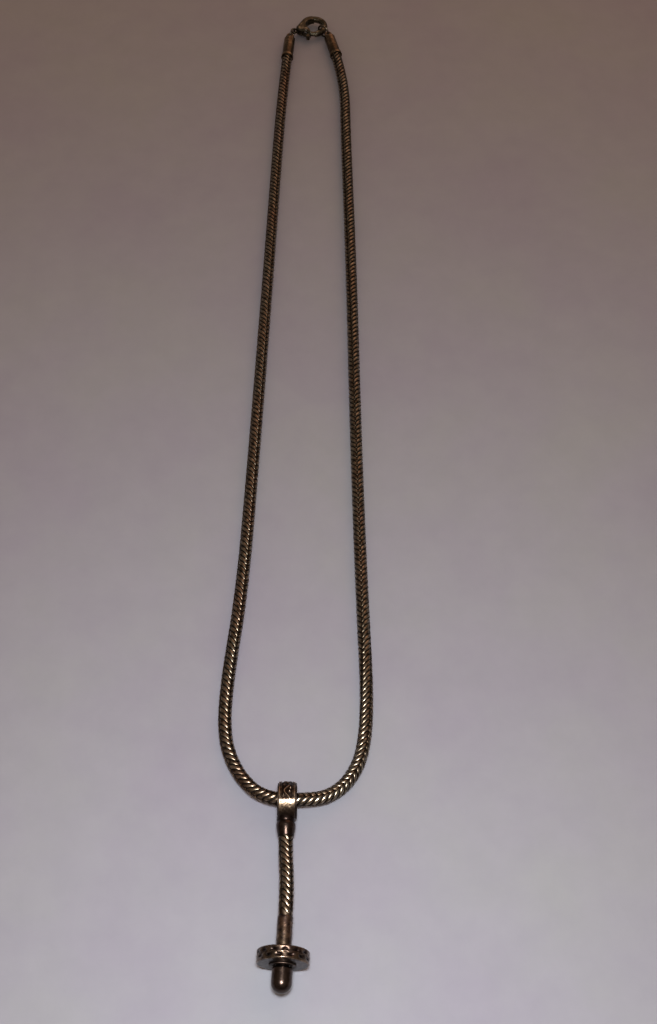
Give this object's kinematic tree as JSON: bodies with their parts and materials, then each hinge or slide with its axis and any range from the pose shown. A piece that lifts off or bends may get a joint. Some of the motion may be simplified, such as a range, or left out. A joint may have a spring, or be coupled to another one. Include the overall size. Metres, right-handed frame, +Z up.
{
  "type": "pendant necklace",
  "caption": "Round snake chain necklace with a lobster clasp and a decorated bail that carries a short drop with a disc bead and a screw-on bullet-shaped cap.",
  "frame": {"origin": "on the table under the middle of the box from the clasp to the tip of the end cap, measured without the chain", "axes": "+Z up from the table, +Y from the pendant to the clasp, +X to the right"},
  "size_m": [0.033, 0.2823, 0.0102],
  "materials": {
    "chain_silver": "oxidised silver snake chain, dark between the links and worn bright on their crests",
    "cap_silver": "polished silver with a warm tarnish",
    "link_silver": "drawn silver wire with a light tarnish",
    "clasp_silver": "cast silver, satin, tarnished in the recesses",
    "spring_steel": "bright spring wire",
    "bail_silver": "oxidised cast silver, blackened in the pattern and polished on its high spots",
    "liner_silver": "plain turned silver, satin",
    "drop_silver": "turned silver, polished, with fine scratches",
    "bead_silver": "oxidised cast silver, blackened in the scrollwork, satin grey on the faces"
  },
  "bodies": {
    "chain": {"snake_chain": "chain_silver", "left_end_cap": "cap_silver", "right_end_cap": "cap_silver"},
    "left_ring": {"left_link_ring": "link_silver"},
    "right_ring": {"right_link_ring": "link_silver"},
    "clasp": {"clasp_body": "clasp_silver", "clasp_rivet": "link_silver", "clasp_spring": "spring_steel"},
    "lever": {"clasp_lever": "clasp_silver"},
    "bail_core": {"bail_liner": "liner_silver"},
    "bail": {"bail_band": "bail_silver", "bail_collar": "drop_silver", "drop_chain": "chain_silver", "drop_ferrule": "drop_silver", "threaded_stud": "drop_silver"},
    "bead_core": {"bead_liner": "liner_silver"},
    "bead": {"disc_bead": "bead_silver"},
    "cap": {"end_cap": "drop_silver"}
  },
  "joints": [
    {"name": "bail_slide", "type": "slide", "parent": "chain", "child": "bail_core", "axis": [1, 0, 0], "range_m": [-0.001, 0.002]},
    {"name": "pendant_swing", "type": "hinge", "parent": "bail_core", "child": "bail", "pos_m": [-0.00362, -0.103, 0.004], "axis": [-1, 0, 0], "continuous": true},
    {"name": "bead_slide", "type": "slide", "parent": "bail", "child": "bead_core", "axis": [-0.0414, -0.9991, 0], "range_m": [-0.006, 0]},
    {"name": "bead_spin", "type": "hinge", "parent": "bead_core", "child": "bead", "pos_m": [-0.00392, -0.13444, 0.0051], "axis": [-0.0414, -0.9991, 0], "continuous": true},
    {"name": "cap_unscrew", "type": "slide", "parent": "bail", "child": "cap", "axis": [-0.0414, -0.9991, 0], "range_m": [0, 0.0045]},
    {"name": "clasp_roll", "type": "hinge", "parent": "chain", "child": "clasp", "pos_m": [-0.0054, 0.13532, 0.0019], "axis": [0.9999, -0.0117, 0], "range_deg": [-20, 20]},
    {"name": "lever_open", "type": "hinge", "parent": "clasp", "child": "lever", "pos_m": [-0.00196, 0.13475, 0.0019], "axis": [0, 0, 1], "range_deg": [0, 26], "stiffness_Nm_per_rad": 0.001, "springref_deg": -28.65},
    {"name": "left_ring_lean", "type": "hinge", "parent": "chain", "child": "left_ring", "pos_m": [-0.00657, 0.13329, 0.0018], "axis": [0.5, 0.866, 0], "range_deg": [-12, 12]},
    {"name": "right_ring_lean", "type": "hinge", "parent": "chain", "child": "right_ring", "pos_m": [0.00287, 0.13522, 0.0019], "axis": [0.8033, -0.5955, 0], "range_deg": [-12, 12]}
  ]
}
